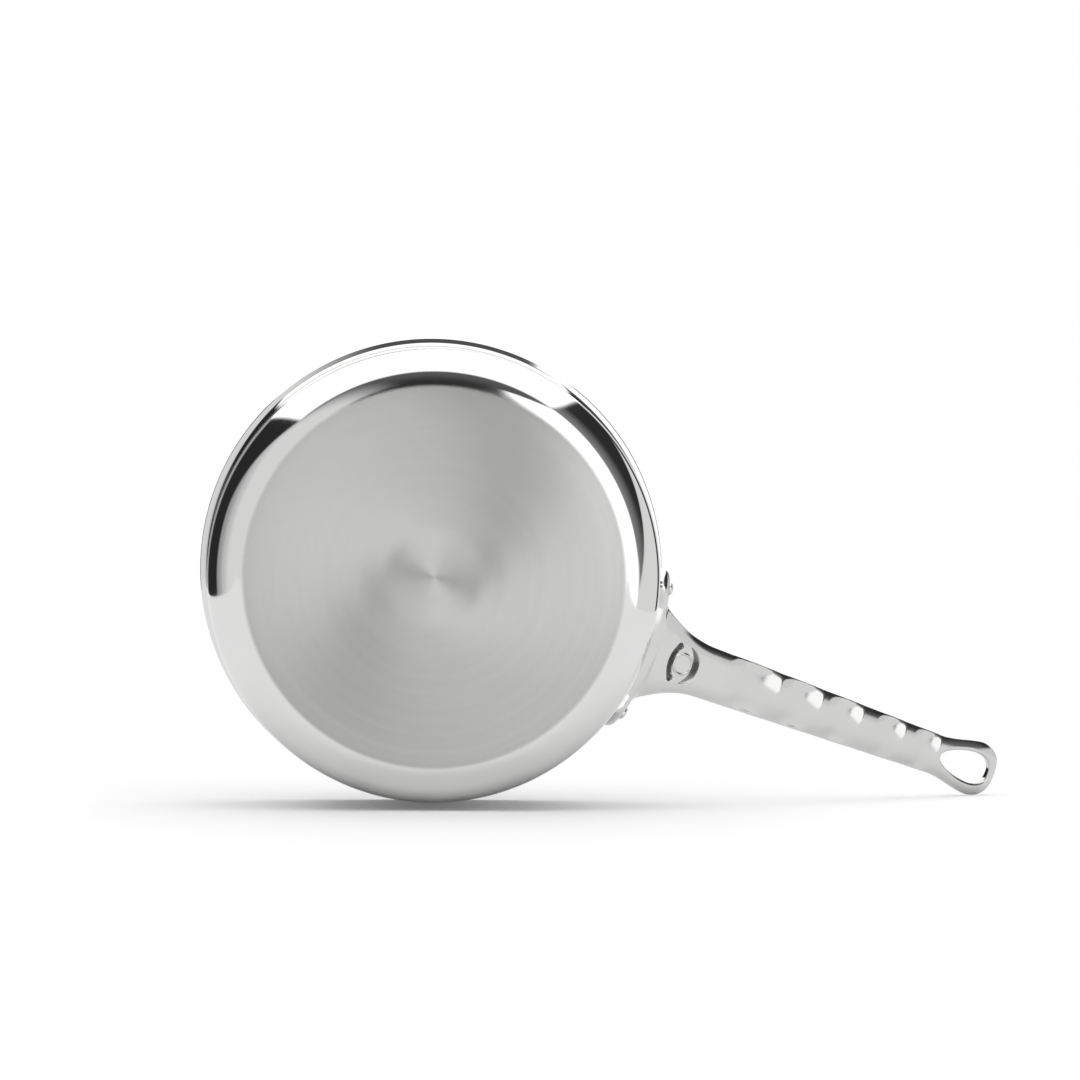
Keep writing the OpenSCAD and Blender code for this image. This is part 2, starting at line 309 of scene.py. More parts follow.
# points in metres and faces become an object in the scene
def addObject(name, points, faces):
    mesh = bpy.data.meshes.new(name)
    mesh.from_pydata(np.asarray(points).tolist(), [], [list(map(int, face)) for face in faces])
    mesh.update()
    made = bpy.data.objects.new(name, mesh)
    scene.collection.objects.link(made)
    return made


# points in millimetres and faces become a piece that stands for a CAD node
def addPiece(name, points, faces, node, material):
    piece = addObject(name, np.asarray(points) * mm, faces)
    piece.data.materials.append(material)
    piece.data.shade_smooth()
    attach(piece, "root")
    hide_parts(node)
    return piece


# an arc in the half section: centre plus radius times (cos, sin), from one angle to another
def arc(centre, radius, start, end, steps):
    turn = np.linspace(start, end, steps + 1)
    return np.stack([centre[0] + radius * np.cos(turn), centre[1] + radius * np.sin(turn)], 1)


def line(start, end, steps):
    return np.linspace(start, end, steps + 1)


# points of the lip's flat, at a depth below its outer face and a distance past the bend
def lipPoints(depth, past):
    return (np.array([lipR, lipZ]) + np.multiply.outer(pan["lipBend"] + depth, lipInward)
            + np.multiply.outer(past, lipAlong))


# where the flat ends at a depth: its length, less what the nearer round corner takes off
def lipEnd(depth):
    cornerDepth = np.maximum(pan["lipRound"] - np.minimum(depth, sheet - depth), 0)
    return pan["lipFlat"] - pan["lipRound"] + np.sqrt(pan["lipRound"] ** 2 - cornerDepth ** 2)


# the sheet's surface at a depth below the outer face: base, bend, wall and lip as one half section
def sheetSection(depth):
    steps, bend = pan["steps"], pan["bendRadius"]
    radius = outerRadius - depth
    lipBend = pan["lipBend"] + depth
    return np.concatenate([
        line([0.0, depth], [flatRadius, depth], steps["base"]),
        arc([flatRadius, bend], bend - depth, -math.pi / 2, 0, steps["bend"])[1:],
        line([radius, bend], [radius, lipZ], steps["wall"])[1:],
        arc([lipR, lipZ], lipBend, math.pi, math.pi - pan["lipTurn"], steps["lip"])[1:],
        line(lipPoints(depth, 0.0), lipPoints(depth, lipEnd(depth)), steps["flat"])[1:],
    ])


# one sheet: its outer face, its share of the lip's end, and its inner face back to the axis
def layerSection(outer, inner):
    share = np.cos(np.linspace(0, math.pi, pan["steps"]["end"]))
    depths = (outer + inner) / 2 + (outer - inner) / 2 * share
    return np.concatenate([
        sheetSection(outer), lipPoints(depths, lipEnd(depths))[1:-1], sheetSection(inner)[::-1]])


# faces of a closed skin of rings: a first point, rows of points round the axis, a last point
def ringFaces(rows, turns):
    j = np.arange(turns)
    k = (j + 1) % turns
    row = 1 + np.arange(rows - 1)[:, None] * turns
    quads = np.stack([row + j, row + k, row + turns + k, row + turns + j], -1).reshape(-1, 4)
    last = 1 + (rows - 1) * turns
    foot = np.stack([np.zeros(turns, int), 1 + k, 1 + j], -1)
    head = np.stack([last + j, last + k, np.full(turns, last + turns)], -1)
    return list(foot) + list(quads) + list(head)


# a half section (radius, height) turned about Z; its first and last points lie on the axis
def turned(section, turns):
    angle = np.arange(turns) * 2 * math.pi / turns
    radius, height = section[1:-1, :1], section[1:-1, 1:]
    rings = np.stack([radius * np.cos(angle), radius * np.sin(angle),
                      np.repeat(height, turns, 1)], -1).reshape(-1, 3)
    points = np.concatenate([[[0, 0, section[0, 1]]], rings, [[0, 0, section[-1, 1]]]])
    return points, ringFaces(len(radius), turns)


# the direction that the sheet's surface faces at a point, by which part of the section it is on
def sheetDirection(points):
    radius = np.hypot(points[:, 0], points[:, 1])
    radial = points[:, :2] / np.maximum(radius, 1e-6)[:, None]
    out, up = np.zeros(len(points)), np.zeros(len(points))
    z = points[:, 2]
    bend = (radius > flatRadius) & (z < pan["bendRadius"])
    wall = (z >= pan["bendRadius"]) & (z <= lipZ) & (radius > flatRadius)
    lip = z > lipZ
    below = ~(wall | lip)
    # polishing has rounded the disc's edge a little, which fades out round the bend
    lean = pan["discLean"] * (np.minimum(radius, flatRadius) / flatRadius) ** pan["discLeanPower"]
    bent = np.where(bend, np.arctan2(radius - flatRadius, pan["bendRadius"] - z), 0)
    lean = bent + lean * np.maximum(1 - bent / pan["discLeanFade"], 0)
    out[below], up[below] = np.sin(lean)[below], -np.cos(lean)[below]
    out[wall] = 1
    # on the lip: towards the bend's centre, or away from the flat's middle
    fromCentre = np.stack([radius - lipR, z - lipZ], 1)
    past = fromCentre @ lipAlong
    depth = fromCentre @ lipInward - pan["lipBend"]
    beyond = np.maximum(past - pan["lipFlat"] + pan["lipRound"], 0)
    aside = depth - np.clip(depth, pan["lipRound"], sheet - pan["lipRound"])
    off = np.multiply.outer(beyond, lipAlong) + np.multiply.outer(aside, lipInward)
    off = np.where((past > 0)[:, None], off, -fromCentre)
    out[lip], up[lip] = off[lip, 0], off[lip, 1]
    size = np.maximum(np.hypot(out, up), 1e-9)
    return np.concatenate([radial * (out / size)[:, None], (up / size)[:, None]], 1)


# a mesh's values of one kind, as an array
def meshValues(items, name, kind, width=1):
    values = np.empty(len(items) * width, kind)
    items.foreach_get(name, values)
    return values.reshape(-1, width) if width > 1 else values


# each corner's normal is the true surface's where the face lies on it, and the face's own elsewhere
def setTrueNormals(piece, direction, limit=0.8):
    mesh = piece.data
    vertex = meshValues(mesh.loops, "vertex_index", np.int32)
    points = meshValues(mesh.vertices, "co", np.float32, 3).astype(float) / mm
    total = meshValues(mesh.polygons, "loop_total", np.int32)
    faceNormal = np.repeat(meshValues(mesh.polygons, "normal", np.float32, 3), total, 0)
    true = direction(points)[vertex]
    match = (true * faceNormal).sum(1)
    true *= np.sign(match)[:, None]
    normal = np.where((np.abs(match) > limit)[:, None], true, faceNormal)
    mesh.normals_split_custom_set(normal.tolist())


# the cast handle, in millimetres along and across its centre line
handleSizes = {
    "length": 200.0, "rise": math.radians(28), "rootBend": 24.0,
    "rootWidth": 26.1, "endWidth": 17.1, "rootThick": 8.8, "endThick": 6.0,
    "neckSpread": 12.2, "neckLength": 33.4, "neckThick": 18.6, "neckThinLength": 15.0,
    "sectionPower": 2.5, "underPower": (3.0, 2.15), "underChange": (45.0, 53.0),
    "tipPower": 2.8, "tipStart": 0.92, "bulgeStart": 0.82, "bulgeEnd": 0.95,
    "eyeWidthOver": 25.2, "eyeLength": 27.6, "eyeWidth": 13.6, "eyeWall": 4.2,
    "eyeRound": 1.6, "eyeSpread": 0.3, "eyeSpreadEnds": (0.6, 1.4), "eyePower": 2 / 0.85,
    "dentFirst": 63.5, "dentRun": 97.0, "dentLength": 21.5,
    "dentPlaces": (0, 0.265, 0.52, 0.785, 1), "dentLengths": (1, 0.8, 0.66, 0.54, 0.5),
    "dentDepth": 0.33, "dentDeepest": 2.95, "dentRound": 0.35,
    "dentReach": (1.6, 1.2), "dentLead": 0.28, "dentPower": 2.0, "dentFade": 6,
    "medalAt": 19.6, "medalDrop": 4.4, "ringRadius": 4.7, "ringTube": 0.42, "ringBlend": 0.4,
    "slotBend": 12.6, "slotWidth": 2.4, "slotOffset": 6.4, "slotTurn": math.radians(37),
    "slotEnd": 1.25, "slotRound": 0.45, "cutReach": 14,
    "crescentRadius": 8.8, "crescentWidth": 3.3, "crescentInner": 12.2,
    "blend": 2.5, "wallRound": 0.5, "holeRound": 0.4,
    "low": (93.0, -41.0, 73.0), "high": (281.0, 41.0, 180.0), "grid": 0.5, "quickGrid": 1.0,
    "refined": ((10.3, 1), (5.6, 1)),
}
flange = {"thick": 6.6, "drop": 27.0, "lug": 9.6, "bandShare": 0.87, "spacing": 60.4,
          "edge": 2.6, "lugEdge": 4.3, "lugEdgeFrom": 0.4, "blend": 3.0}
rivets = {"shank": 6.0, "fit": 0.1, "shankFrom": 1, "headWidth": 13.0, "headHeight": 2.4,
          "buttonHeight": 1.9, "buttonDome": 1.4, "drillOver": 4, "holeTurns": 64, "turns": 96,
          "steps": {"seatRounds": 12, "dome": 17, "seat": 5, "shank": 6, "button": 15}}
flangeRadius = outerRadius + flange["thick"]
flangeZ = pan["height"] - flange["drop"]
rivetAngle = math.asin(flange["spacing"] / 2 / flangeRadius)
# a value that no distance in the fields reaches, and the smallest that a root or slope may have
farAway, tinyRoot, tinySlope = 99.0, 1e-12, 1e-3


# points by their distance along a rivet's axis, across it, and up from it
def atRivet(side, along, across, up):
    c, s = math.cos(side * rivetAngle), math.sin(side * rivetAngle)
    return np.stack([along * c - across * s, along * s + across * c, up + flangeZ], -1)


# the two boreholes for the rivets, cut through a sheet
def drillSheet(piece):
    holes = []
    turns = rivets["holeTurns"]
    j = np.arange(turns)
    k = (j + 1) % turns
    caps = [list(range(turns))[::-1], list(range(turns, 2 * turns))]
    faces = list(np.stack([j, k, turns + k, turns + j], 1)) + caps
    angle = j * 2 * math.pi / turns
    radius = rivets["shank"] / 2 + rivets["fit"]
    ends = [pan["innerRadius"] - rivets["drillOver"], outerRadius + rivets["drillOver"]]
    for side in (-1, 1):
        points = atRivet(side, np.repeat(ends, turns), np.tile(radius * np.cos(angle), 2),
                         np.tile(radius * np.sin(angle), 2))
        drill = addObject("drill", points * mm, faces)
        holes.append(drill)
        cut = piece.modifiers.new("hole", "BOOLEAN")
        cut.operation = "DIFFERENCE"
        cut.solver = "EXACT"
        cut.object = drill
    graph = bpy.context.evaluated_depsgraph_get()
    result = bpy.data.meshes.new_from_object(piece.evaluated_get(graph))
    piece.modifiers.clear()
    piece.data = result
    for drill in holes:
        bpy.data.objects.remove(drill)


coreFrom, coreTo = pan["outerSheet"], pan["outerSheet"] + pan["coreSheet"]
layers = (
    ("outerSkin", "outer_steel_skin", "outer_steel", 0.0, coreFrom, outerSteel),
    ("core", "aluminium_core", "core_aluminium", coreFrom, coreTo, coreAluminium),
    ("innerSkin", "inner_steel_skin", "inner_steel", coreTo, sheet, insideSteel),
)
for name, node, slotName, outer, inner, material in layers:
    points, faces = turned(layerSection(outer, inner), pan["turns"])
    piece = addPiece(name, points, faces, node, material)
    drillSheet(piece)
    piece.data.shade_smooth()
    setTrueNormals(piece, sheetDirection)
    print(name, len(piece.data.polygons), "faces")


# distance along the handle's centre line, and height above it: up the flange, round the
# root's bend, and out along the straight bar
def alongHandle(x, z):
    h = handleSizes
    rise, bend = h["rise"], h["rootBend"]
    fromX, down = x - outerRadius, flangeZ + bend - z
    angle = np.clip(np.arctan2(fromX, down), 0, rise)
    endX = outerRadius + bend * math.sin(rise)
    endZ = flangeZ + bend * (1 - math.cos(rise))
    straight = (x - endX) * math.cos(rise) + (z - endZ) * math.sin(rise)
    lifted = (z - endZ) * math.cos(rise) - (x - endX) * math.sin(rise)
    s = np.where(fromX < 0, fromX, bend * angle)
    t = np.where(fromX < 0, z - flangeZ, bend - np.hypot(fromX, down))
    return np.where(straight > 0, bend * rise + straight, s), np.where(straight > 0, lifted, t)


# 0 to 1 as q goes from 0 to 1: q squared times (3 - 2 q)
def smooth01(q):
    q = np.clip(q, 0, 1)
    return q * q * (3 - 2 * q)


# half width and half thickness of the bar at a distance along it: straight tapers, plus
# squares of what is left of the neck, plus a smooth step to the eye
def barWidths(s):
    h = handleSizes
    length = h["length"]
    share = np.clip(s / length, 0, 1)
    bulgeStart, bulgeEnd = h["bulgeStart"] * length, h["bulgeEnd"] * length
    bulge = smooth01((s - bulgeStart) / (bulgeEnd - bulgeStart))
    thin = np.clip(s / bulgeStart, 0, 1)
    wide = (h["rootWidth"] + (h["endWidth"] - h["rootWidth"]) * share) / 2
    wide = wide + h["neckSpread"] * np.clip(1 - s / h["neckLength"], 0, 1) ** 2
    wide = wide + (h["eyeWidthOver"] - h["endWidth"]) / 2 * bulge
    thick = (h["rootThick"] + (h["endThick"] - h["rootThick"]) * thin) / 2
    neck = np.clip(1 - s / h["neckThinLength"], 0, 1) ** 2
    return wide, thick + (h["neckThick"] - h["rootThick"]) / 2 * neck


# two distances joined: the corner between them is filled over a width k
def joined(a, b, k):
    near = np.maximum(k - np.abs(a - b), 0) / k
    return np.minimum(a, b) - near * near * k / 4


# the overlap of two distances, its outer corner rounded to radius e
def rounded(a, b, e):
    p, q = a + e, b + e
    return np.hypot(np.maximum(p, 0), np.maximum(q, 0)) + np.minimum(np.maximum(p, q), 0) - e


# how far the dents for the fingers move the lower face up: each falls like half a cosine
# wave from the pan's side and rises by a power to a rounded edge, less at the bar's sides
def dentShift(s, across):
    h = handleSizes
    deepest = np.zeros_like(s)
    for place, size in zip(h["dentPlaces"], h["dentLengths"]):
        half = h["dentLength"] * size / 2
        off = (s - h["dentFirst"] - h["dentRun"] * place) / half + h["dentLead"]
        depth = min(half * h["dentDepth"], h["dentDeepest"])
        fall = depth * (1 + np.cos(math.pi * np.clip(off / h["dentReach"][0], -1, 0))) / 2
        climb = depth * (1 - np.maximum(off / h["dentReach"][1], 0) ** h["dentPower"])
        climb = -joined(-climb, np.zeros_like(s), h["dentRound"])
        deepest = np.maximum(deepest, np.where(off < 0, fall, climb))
    return deepest * (1 - np.minimum(across, 1) ** h["dentFade"])


# signed distance to the bar: a squarish ellipse across, rounder on the grip's lower side,
# closed at the tip by a squarish ellipse along
def barField(s, y, t):
    h = handleSizes
    wide, thick = barWidths(s)
    across = np.abs(y) / wide
    shift = dentShift(s, across)
    start, end = h["underChange"]
    neck, grip = h["underPower"]
    under = neck + (grip - neck) * smooth01((s - start) / (end - start))
    power = np.where(shift - t > t, under, h["sectionPower"])
    tip, tipStart = h["tipPower"], h["tipStart"] * h["length"]
    tipLength = h["length"] - tipStart
    past = np.clip(s - tipStart, 0, None) / tipLength
    plan = np.maximum(across ** tip + past ** tip, tinyRoot) ** (1 / tip)
    up = np.maximum(t, shift - t) / thick
    whole = np.maximum(plan ** power + up ** power, tinyRoot) ** (1 / power)
    planPart = (plan / whole) ** (power - 1)
    slope = np.sqrt((planPart * (across / plan) ** (tip - 1) / wide) ** 2
                    + (planPart * (past / plan) ** (tip - 1) / tipLength) ** 2
                    + ((up / whole) ** (power - 1) / thick) ** 2)
    return (whole - 1) / np.maximum(slope, tinySlope)


# signed distance to the flange: a low band and two round lugs, rounded at their outer edges
def flangeField(x, y, z):
    radius = np.hypot(x, y)
    around = np.abs(np.arctan2(y, x)) * flangeRadius
    lugAt = rivetAngle * flangeRadius
    up = np.abs(z - flangeZ)
    lugField = np.hypot(around - lugAt, up) - flange["lug"]
    bandField = np.maximum(up - flange["lug"] * flange["bandShare"], around - lugAt)
    outline = joined(lugField, bandField, flange["blend"])
    beyond = smooth01((around - lugAt) / flange["lug"] + flange["lugEdgeFrom"])
    edge = flange["edge"] + (flange["lugEdge"] - flange["edge"]) * beyond
    return rounded(outline, radius - flangeRadius, edge)


# signed distance to the eye: an egg, wider towards the tip
def eyeField(s, y):
    h = handleSizes
    a, b = h["eyeLength"] / 2, h["eyeWidth"] / 2
    x = s - (h["length"] - h["eyeWall"] - a)
    spread = np.clip(1 + h["eyeSpread"] * x / a, *h["eyeSpreadEnds"])
    side = np.abs(y) / (b * spread)
    power = h["eyePower"]
    whole = np.sqrt(np.maximum((x / a) ** 2 + side ** power, tinyRoot))
    sideSlope = power / 2 * side ** (power - 1) / (b * spread * whole)
    slope = np.hypot(np.abs(x) / (a * a * whole), sideSlope)
    return (whole - 1) / np.maximum(slope, tinySlope)


# signed distance to the curved slot beside the medallion, which widens at its ends
def slotField(x, y):
    h = handleSizes
    bend, half = h["slotBend"], h["slotWidth"] / 2
    u, v = bend - h["slotOffset"] - x, np.abs(y)
    band = np.abs(np.hypot(u, v) - bend) - half
    endU, endV = bend * math.cos(h["slotTurn"]), bend * math.sin(h["slotTurn"])
    ends = np.hypot(u - endU, v - endV) - half * h["slotEnd"]
    return np.minimum(np.where(np.arctan2(v, u) < h["slotTurn"], band, farAway), ends)


# signed distance to the pointed crescent on its other side: one circle less another
def crescentField(x, y):
    h = handleSizes
    innerAt = h["crescentRadius"] - h["crescentWidth"] - h["crescentInner"]
    inner = h["crescentInner"] - np.hypot(x - innerAt, y)
    return np.maximum(np.hypot(x, y) - h["crescentRadius"], inner)


# the whole casting: bar and flange joined with a fillet, cut by the wall, the rivet
# holes, the eye and the slots, with the medallion's ring laid on
def handleField(points):
    h = handleSizes
    x, y, z = points[..., 0], points[..., 1], points[..., 2]
    s, t = alongHandle(x, z)
    wide, thick = barWidths(s)
    field = joined(barField(s, y, t), flangeField(x, y, z), h["blend"])
    field = rounded(field, -eyeField(s, y), h["eyeRound"])
    fromMedal = s - h["medalAt"]
    ringAway = np.hypot(fromMedal, y) - h["ringRadius"]
    field = joined(field, np.hypot(ringAway, t + thick) - h["ringTube"], h["ringBlend"])
    cuts = np.minimum(slotField(fromMedal, y), crescentField(fromMedal, y))
    slotted = rounded(field, -cuts, h["slotRound"])
    field = np.where(np.abs(fromMedal) < h["cutReach"], slotted, field)
    field = rounded(field, outerRadius - np.hypot(x, y), h["wallRound"])
    for side in (-1, 1):
        c, sn = math.cos(side * rivetAngle), math.sin(side * rivetAngle)
        hole = np.hypot(y * c - x * sn, z - flangeZ) - rivets["shank"] / 2 - rivets["fit"]
        drilled = rounded(field, -hole, h["holeRound"])
        field = np.where(x * c + y * sn < flangeRadius + rivets["drillOver"], drilled, field)
    return field


# slope of a field by central differences
def fieldSlope(field, points, step=0.04):
    ways = np.eye(3) * step
    return np.stack([field(points + way) - field(points - way) for way in ways], -1) / (2 * step)


# moves points onto the surface where the field is zero, by no more than a longest step a round
def ontoSurface(field, points, rounds=4, leastSlope=0.05, longest=0.4):
    for _ in range(rounds):
        slope = fieldSlope(field, points)
        size = np.maximum((slope ** 2).sum(-1, keepdims=True), leastSlope)
        step = field(points)[..., None] * slope / size
        length = np.maximum(np.linalg.norm(step, axis=-1, keepdims=True), 1e-9)
        points = points - step * np.minimum(1, longest / length)
    return points


# samples of a field on a grid from low to high, worked out one by one only in the blocks
# whose middle is within a margin of grid steps from the surface
def sampleField(field, low, high, grid, block=4, margin=6.4):
    counts = np.ceil((np.array(high) - low) / (grid * block)).astype(int)
    blocks = np.stack(np.meshgrid(*[np.arange(n) for n in counts], indexing="ij"), -1)
    coarse = field(np.array(low) + (blocks + 0.5 - 0.5 / block) * grid * block)
    near = np.abs(coarse) < margin * grid
    inner = np.stack(np.meshgrid(*[np.arange(block)] * 3, indexing="ij"), -1).reshape(-1, 3)
    samples = (blocks[near][:, None] * block + inner) * grid + low
    values = np.repeat(coarse.reshape(-1)[:, None], block ** 3, 1).astype(np.float32)
    values[near.reshape(-1)] = field(samples)
    values = values.reshape(*counts, block, block, block).transpose(0, 3, 1, 4, 2, 5)
    return values.reshape(counts * block)


# skins the surface where a field is zero: one point in each grid cell that it crosses,
# at the mean of its edge crossings, and a four-cornered face round each crossed grid edge
def skinField(field, low, high, grid):
    values = sampleField(field, low, high, grid)
    size = np.array(values.shape)
    inside = values < 0
    corners = [(a, b, c) for a in (0, 1) for b in (0, 1) for c in (0, 1)]
    filled = sum(inside[tuple(slice(o, n - 1 + o) for o, n in zip(corner, size))].astype(np.int8)
                 for corner in corners)
    cells = np.argwhere((filled > 0) & (filled < len(corners)))
    number = np.full(size - 1, -1, np.int64)
    number[tuple(cells.T)] = np.arange(len(cells))
    total, hits = np.zeros((len(cells), 3)), np.zeros((len(cells), 1))
    for a in corners:
        for axis in range(3):
            if a[axis]:
                continue
            b = list(a)
            b[axis] = 1
            first = values[tuple((cells + a).T)]
            second = values[tuple((cells + b).T)]
            crossed = (first < 0) != (second < 0)
            spot = np.tile(np.array(a, float), (len(cells), 1))
            spot[:, axis] = np.where(crossed, first / np.where(crossed, first - second, 1), 0)
            total += np.where(crossed[:, None], spot, 0)
            hits += crossed[:, None]
    points = (cells + total / hits) * grid + low
    faces = []
    for axis in range(3):
        one, two = (axis + 1) % 3, (axis + 2) % 3
        ahead, stepOne, stepTwo = np.eye(3, dtype=int)[[axis, one, two]]
        start = inside[tuple(slice(0, n - o) for n, o in zip(size, ahead))]
        end = inside[tuple(slice(o, n) for n, o in zip(size, ahead))]
        edges = np.argwhere(start != end)
        for way in (one, two):
            edges = edges[(edges[:, way] > 0) & (edges[:, way] < size[way] - 1)]
        around = [edges - stepOne - stepTwo, edges - stepTwo, edges, edges - stepOne]
        quad = np.stack([number[tuple(cell.T)] for cell in around], 1)
        outward = start[tuple(edges.T)]
        quad[~outward] = quad[~outward][:, ::-1]
        faces.append(quad)
    return points, np.concatenate(faces)


# finer faces round the medallion and its slots, moved onto the surface again
def refineHandle(piece, centre, rounds):
    shape = bmesh.new()
    shape.from_mesh(piece.data)
    for reach, cuts in rounds:
        edges = [e for e in shape.edges
                 if ((e.verts[0].co + e.verts[1].co) / 2 / mm - centre).length < reach]
        bmesh.ops.subdivide_edges(shape, edges=edges, cuts=cuts, use_grid_fill=True)
    bmesh.ops.triangulate(shape, faces=[f for f in shape.faces if len(f.verts) > 4])
    shape.to_mesh(piece.data)
    shape.free()
    mesh = piece.data
    points = meshValues(mesh.vertices, "co", np.float32, 3).astype(float) / mm
    points = ontoSurface(handleField, points)
    mesh.vertices.foreach_set("co", (points * mm).astype(np.float32).reshape(-1))
    slope = fieldSlope(handleField, points)
    slope /= np.maximum(np.linalg.norm(slope, axis=1, keepdims=True), 1e-9)
    mesh.update()
    mesh.shade_smooth()
    mesh.normals_split_custom_set_from_vertices(slope.tolist())


low, high = np.array(handleSizes["low"]), np.array(handleSizes["high"])
gridStep = handleSizes["grid"]
points, faces = skinField(handleField, low, high, gridStep)
points = ontoSurface(handleField, points)
print("handle skinned", len(points), "points", len(faces), "faces")

# the medallion's middle on the lower face, and the way that face looks
rise, rootBend = handleSizes["rise"], handleSizes["rootBend"]
medalS = handleSizes["medalAt"] - rootBend * rise
faceWay = Vector((math.sin(rise), 0, -math.cos(rise)))
medalCentre = Vector((
    outerRadius + rootBend * math.sin(rise) + medalS * math.cos(rise), 0,
    flangeZ + rootBend * (1 - math.cos(rise)) + medalS * math.sin(rise)))
medalCentre = medalCentre + faceWay * handleSizes["medalDrop"]
# where the finish changes, in metres; the slots' dark colour is painted shade
recess = {"gripSpan": (0.128, 0.156), "centre": medalCentre * mm, "axis": faceWay,
          "reach": 0.0096, "depths": (0.0013, 0.0078), "soft": 0.0004,
          "asCast": finishes["slots"]}
castSteel = makeMaterial("castSteel", castGrip, finishes["neck"], finishes["grip"], recess)
handle = addPiece("castHandle", points, faces, "handle", castSteel)
refineHandle(handle, medalCentre, handleSizes["refined"])
print("castHandle", len(handle.data.polygons), "faces")


# a rivet: low dome inside the pan, seated on the wall, shank, and a button outside. Rows
# of a grid run along the rivet and columns turn about it; the wall's curve gives the seat
def rivetSurface(side):
    turns, steps = rivets["turns"], rivets["steps"]
    angle = np.arange(turns) * 2 * math.pi / turns
    innerRadius = pan["innerRadius"]
    half, tall = rivets["headWidth"] / 2, rivets["headHeight"]
    ball = (half ** 2 + tall ** 2) / (2 * tall)
    centre = innerRadius - tall + ball
    # the dome's rim, where its ball meets the wall
    rim = np.full(turns, half)
    for _ in range(steps["seatRounds"]):
        wall = np.sqrt(innerRadius ** 2 - (rim * np.cos(angle)) ** 2)
        rim = np.sqrt(np.maximum(ball ** 2 - (centre - wall) ** 2, 1))
    domeRadius = rim * np.sin(np.linspace(0, math.pi / 2, steps["dome"]))[1:, None]
    domeX = centre - np.sqrt(ball ** 2 - domeRadius ** 2)
    shank, dome = rivets["shank"] / 2, rivets["buttonDome"]
    seatRadius = shank + (rim - shank) * np.linspace(1, 0, steps["seat"])[1:, None]
    seatX = np.sqrt(innerRadius ** 2 - (seatRadius * np.cos(angle)) ** 2)
    top = flangeRadius + rivets["buttonHeight"]
    turn = np.linspace(0, math.pi / 2, steps["button"])[1:-1]
    body = np.concatenate([
        line([shank, innerRadius + rivets["shankFrom"]], [shank, top - dome], steps["shank"]),
        np.stack([shank * np.cos(turn), top - dome + dome * np.sin(turn)], 1)])
    radius = np.concatenate([domeRadius, seatRadius, np.repeat(body[:, :1], turns, 1)])
    along = np.concatenate([domeX, seatX, np.repeat(body[:, 1:], turns, 1)])
    rings = atRivet(side, along, radius * np.cos(angle), radius * np.sin(angle))
    first, last = [atRivet(side, end, 0, 0) for end in (centre - ball, top)]
    points = np.concatenate([[first], rings.reshape(-1, 3), [last]])
    return points, ringFaces(len(radius), turns)


for name, node, side in (("leftRivet", "left_rivet", 1), ("rightRivet", "right_rivet", -1)):
    points, faces = rivetSurface(side)
    piece = addPiece(name, points, faces, node, rivetSteel)
    piece.data.set_sharp_from_angle(angle=math.radians(40))
print("rivets made")


# the camera looks almost along the pan's axis at its base, from 5 m away. In its view the
# handle is rolled down from level, and the pan's axis leans a little
photo = {
    "lens": 373.2, "sensor": 36.0, "clip": (0.1, 100),
    "roll": math.radians(20.6), "lean": (-0.0223, -0.0330), "baseAt": (-0.0473, 0.0167, 5.0),
}


# the part's three axes as the camera sees them: right, down and away
def rowAxes():
    away = Vector((*photo["lean"], 0))
    away.z = math.sqrt(1 - away.length_squared)
    along = Vector((math.cos(photo["roll"]), math.sin(photo["roll"]), 0))
    along = (along - away * along.dot(away)).normalized()
    return along, away.cross(along), away


toRow = Matrix(rowAxes())
rightWay, downWay, viewWay = [toRow.col[axis].copy() for axis in range(3)]
cameraData = bpy.data.cameras.new("photoCamera")
cameraData.lens, cameraData.sensor_width = photo["lens"], photo["sensor"]
cameraData.clip_start, cameraData.clip_end = photo["clip"]
camera = bpy.data.objects.new("photoCamera", cameraData)
scene.collection.objects.link(camera)
turn = Matrix((rightWay, -downWay, -viewWay)).transposed().to_4x4()
camera.matrix_world = Matrix.Translation(-(toRow @ Vector(photo["baseAt"]))) @ turn
scene.camera = camera

# the floor, in metres, touches the lip, the wall near its base, and the handle's tip
floorSizes = {"point": (0.2724, 0.0119, 0.1718), "down": (0.3474, 0.9377, -0.0066),
              "gap": 0.0002, "left": -0.83, "right": 0.55, "front": -2.2, "back": 6.0}


# a direction, or the one against it, whichever goes more along another
def towards(way, other):
    return way if way.dot(other) > 0 else -way


floorDown = Vector(floorSizes["down"]).normalized()
side = towards(floorDown.cross(viewWay).normalized(), rightWay)
ahead = towards(side.cross(floorDown).normalized(), viewWay)
middle = floorDown * (Vector(floorSizes["point"]).dot(floorDown) + floorSizes["gap"])
corners = [middle + side * floorSizes[a] + ahead * floorSizes[b]
           for a, b in (("left", "front"), ("right", "front"), ("right", "back"), ("left", "back"))]
floorObject = addObject("studioFloor", corners, [(0, 1, 2, 3)])
if floorObject.data.polygons[0].normal.dot(floorDown) > 0:
    floorObject.data.flip_normals()
floorObject.data.materials.append(makeMaterial("paleFloor", matteFloor, *finishes["floor"]))

